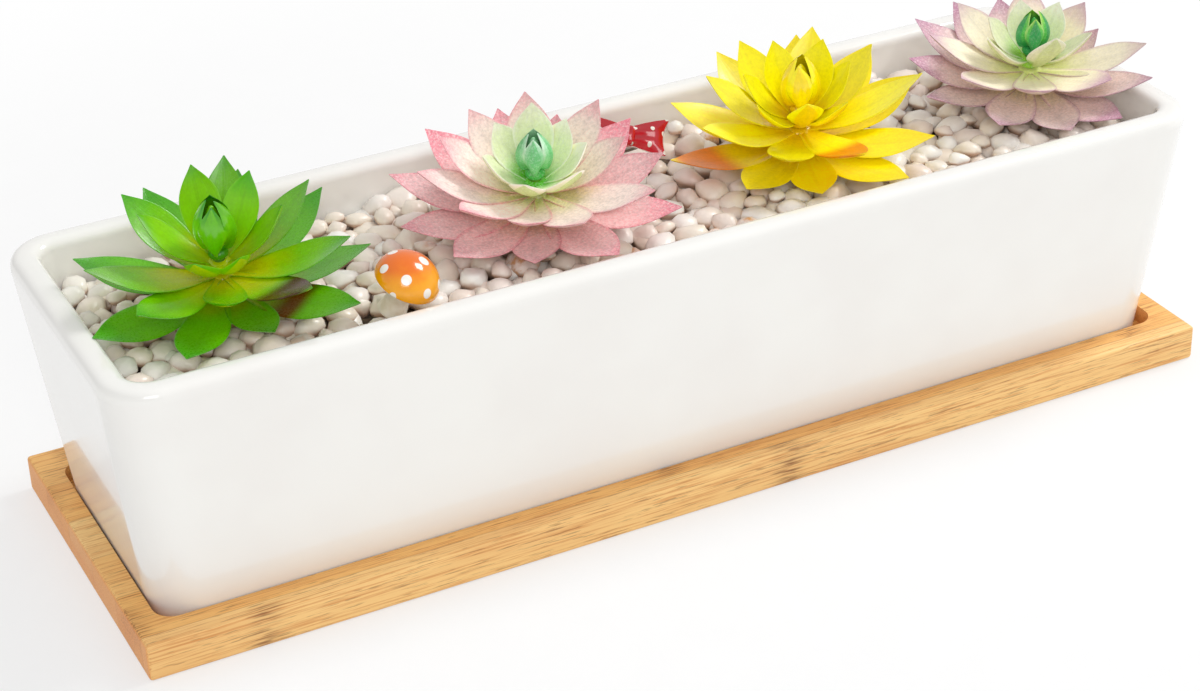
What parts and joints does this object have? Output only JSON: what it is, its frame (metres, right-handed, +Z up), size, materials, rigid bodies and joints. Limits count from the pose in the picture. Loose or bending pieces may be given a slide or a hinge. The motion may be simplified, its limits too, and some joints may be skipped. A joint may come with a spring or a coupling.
{
  "type": "herb planter",
  "caption": "Long white ceramic herb trough on a bamboo tray, filled with pebbles and planted with moulded plastic succulents.",
  "frame": {"origin": "centre of the tray's underside", "axes": "+X along the trough, +Y to its back, +Z up"},
  "size_m": [0.306, 0.098, 0.1025],
  "materials": {
    "bamboo": "oiled bamboo, pale honey with tan grain",
    "white_glaze": "glossy warm white glaze",
    "soil": "dark potting soil",
    "pebbles": "smooth cream and white gravel",
    "stem_green": "moulded green plastic",
    "green_plastic": "glossy moulded leaves, mid green",
    "rose_plastic": "powdered moulded leaves, rose over pale green",
    "yellow_plastic": "moulded leaves, yellow with orange tips",
    "lilac_plastic": "moulded leaves, mauve over cream and green",
    "mushroom_orange": "glossy orange with white dots",
    "mushroom_white": "glossy off-white",
    "bow_red": "glossy red with white dots"
  },
  "bodies": {
    "tray": {"bamboo_tray": "bamboo"},
    "pot": {"planter_pot": "white_glaze", "potting_soil": "soil", "pebble_bed": "pebbles", "top_pebbles": "pebbles"},
    "green_succulent": {"green_stem": "stem_green", "green_lower_leaves": "green_plastic", "green_middle_leaves": "green_plastic", "green_inner_leaves": "green_plastic", "green_bud": "green_plastic"},
    "rose_succulent": {"rose_stem": "stem_green", "rose_lower_leaves": "rose_plastic", "rose_middle_leaves": "rose_plastic", "rose_inner_leaves": "rose_plastic", "rose_bud": "rose_plastic"},
    "yellow_succulent": {"yellow_stem": "stem_green", "yellow_lower_leaves": "yellow_plastic", "yellow_middle_leaves": "yellow_plastic", "yellow_inner_leaves": "yellow_plastic", "yellow_bud": "yellow_plastic"},
    "lilac_succulent": {"lilac_stem": "stem_green", "lilac_lower_leaves": "lilac_plastic", "lilac_middle_leaves": "lilac_plastic", "lilac_inner_leaves": "lilac_plastic", "lilac_bud": "lilac_plastic"},
    "mushroom": {"mushroom_stalk": "mushroom_white", "mushroom_cap": "mushroom_orange"},
    "bow": {"bow_loops": "bow_red", "bow_knot": "bow_red"}
  },
  "joints": [
    {"name": "pot_lift", "type": "slide", "parent": "tray", "child": "pot", "axis": [0, 0, 1], "range_m": [0, 0.03]},
    {"name": "green_lift", "type": "slide", "parent": "pot", "child": "green_succulent", "axis": [0, 0, 1], "range_m": [0, 0.06]},
    {"name": "rose_lift", "type": "slide", "parent": "pot", "child": "rose_succulent", "axis": [0, 0, 1], "range_m": [0, 0.06]},
    {"name": "yellow_lift", "type": "slide", "parent": "pot", "child": "yellow_succulent", "axis": [0, 0, 1], "range_m": [0, 0.06]},
    {"name": "lilac_lift", "type": "slide", "parent": "pot", "child": "lilac_succulent", "axis": [0, 0, 1], "range_m": [0, 0.06]},
    {"name": "mushroom_lift", "type": "slide", "parent": "pot", "child": "mushroom", "axis": [0, 0, 1], "range_m": [0, 0.03]},
    {"name": "bow_lift", "type": "slide", "parent": "pot", "child": "bow", "axis": [0, 0, 1], "range_m": [0, 0.03]}
  ]
}
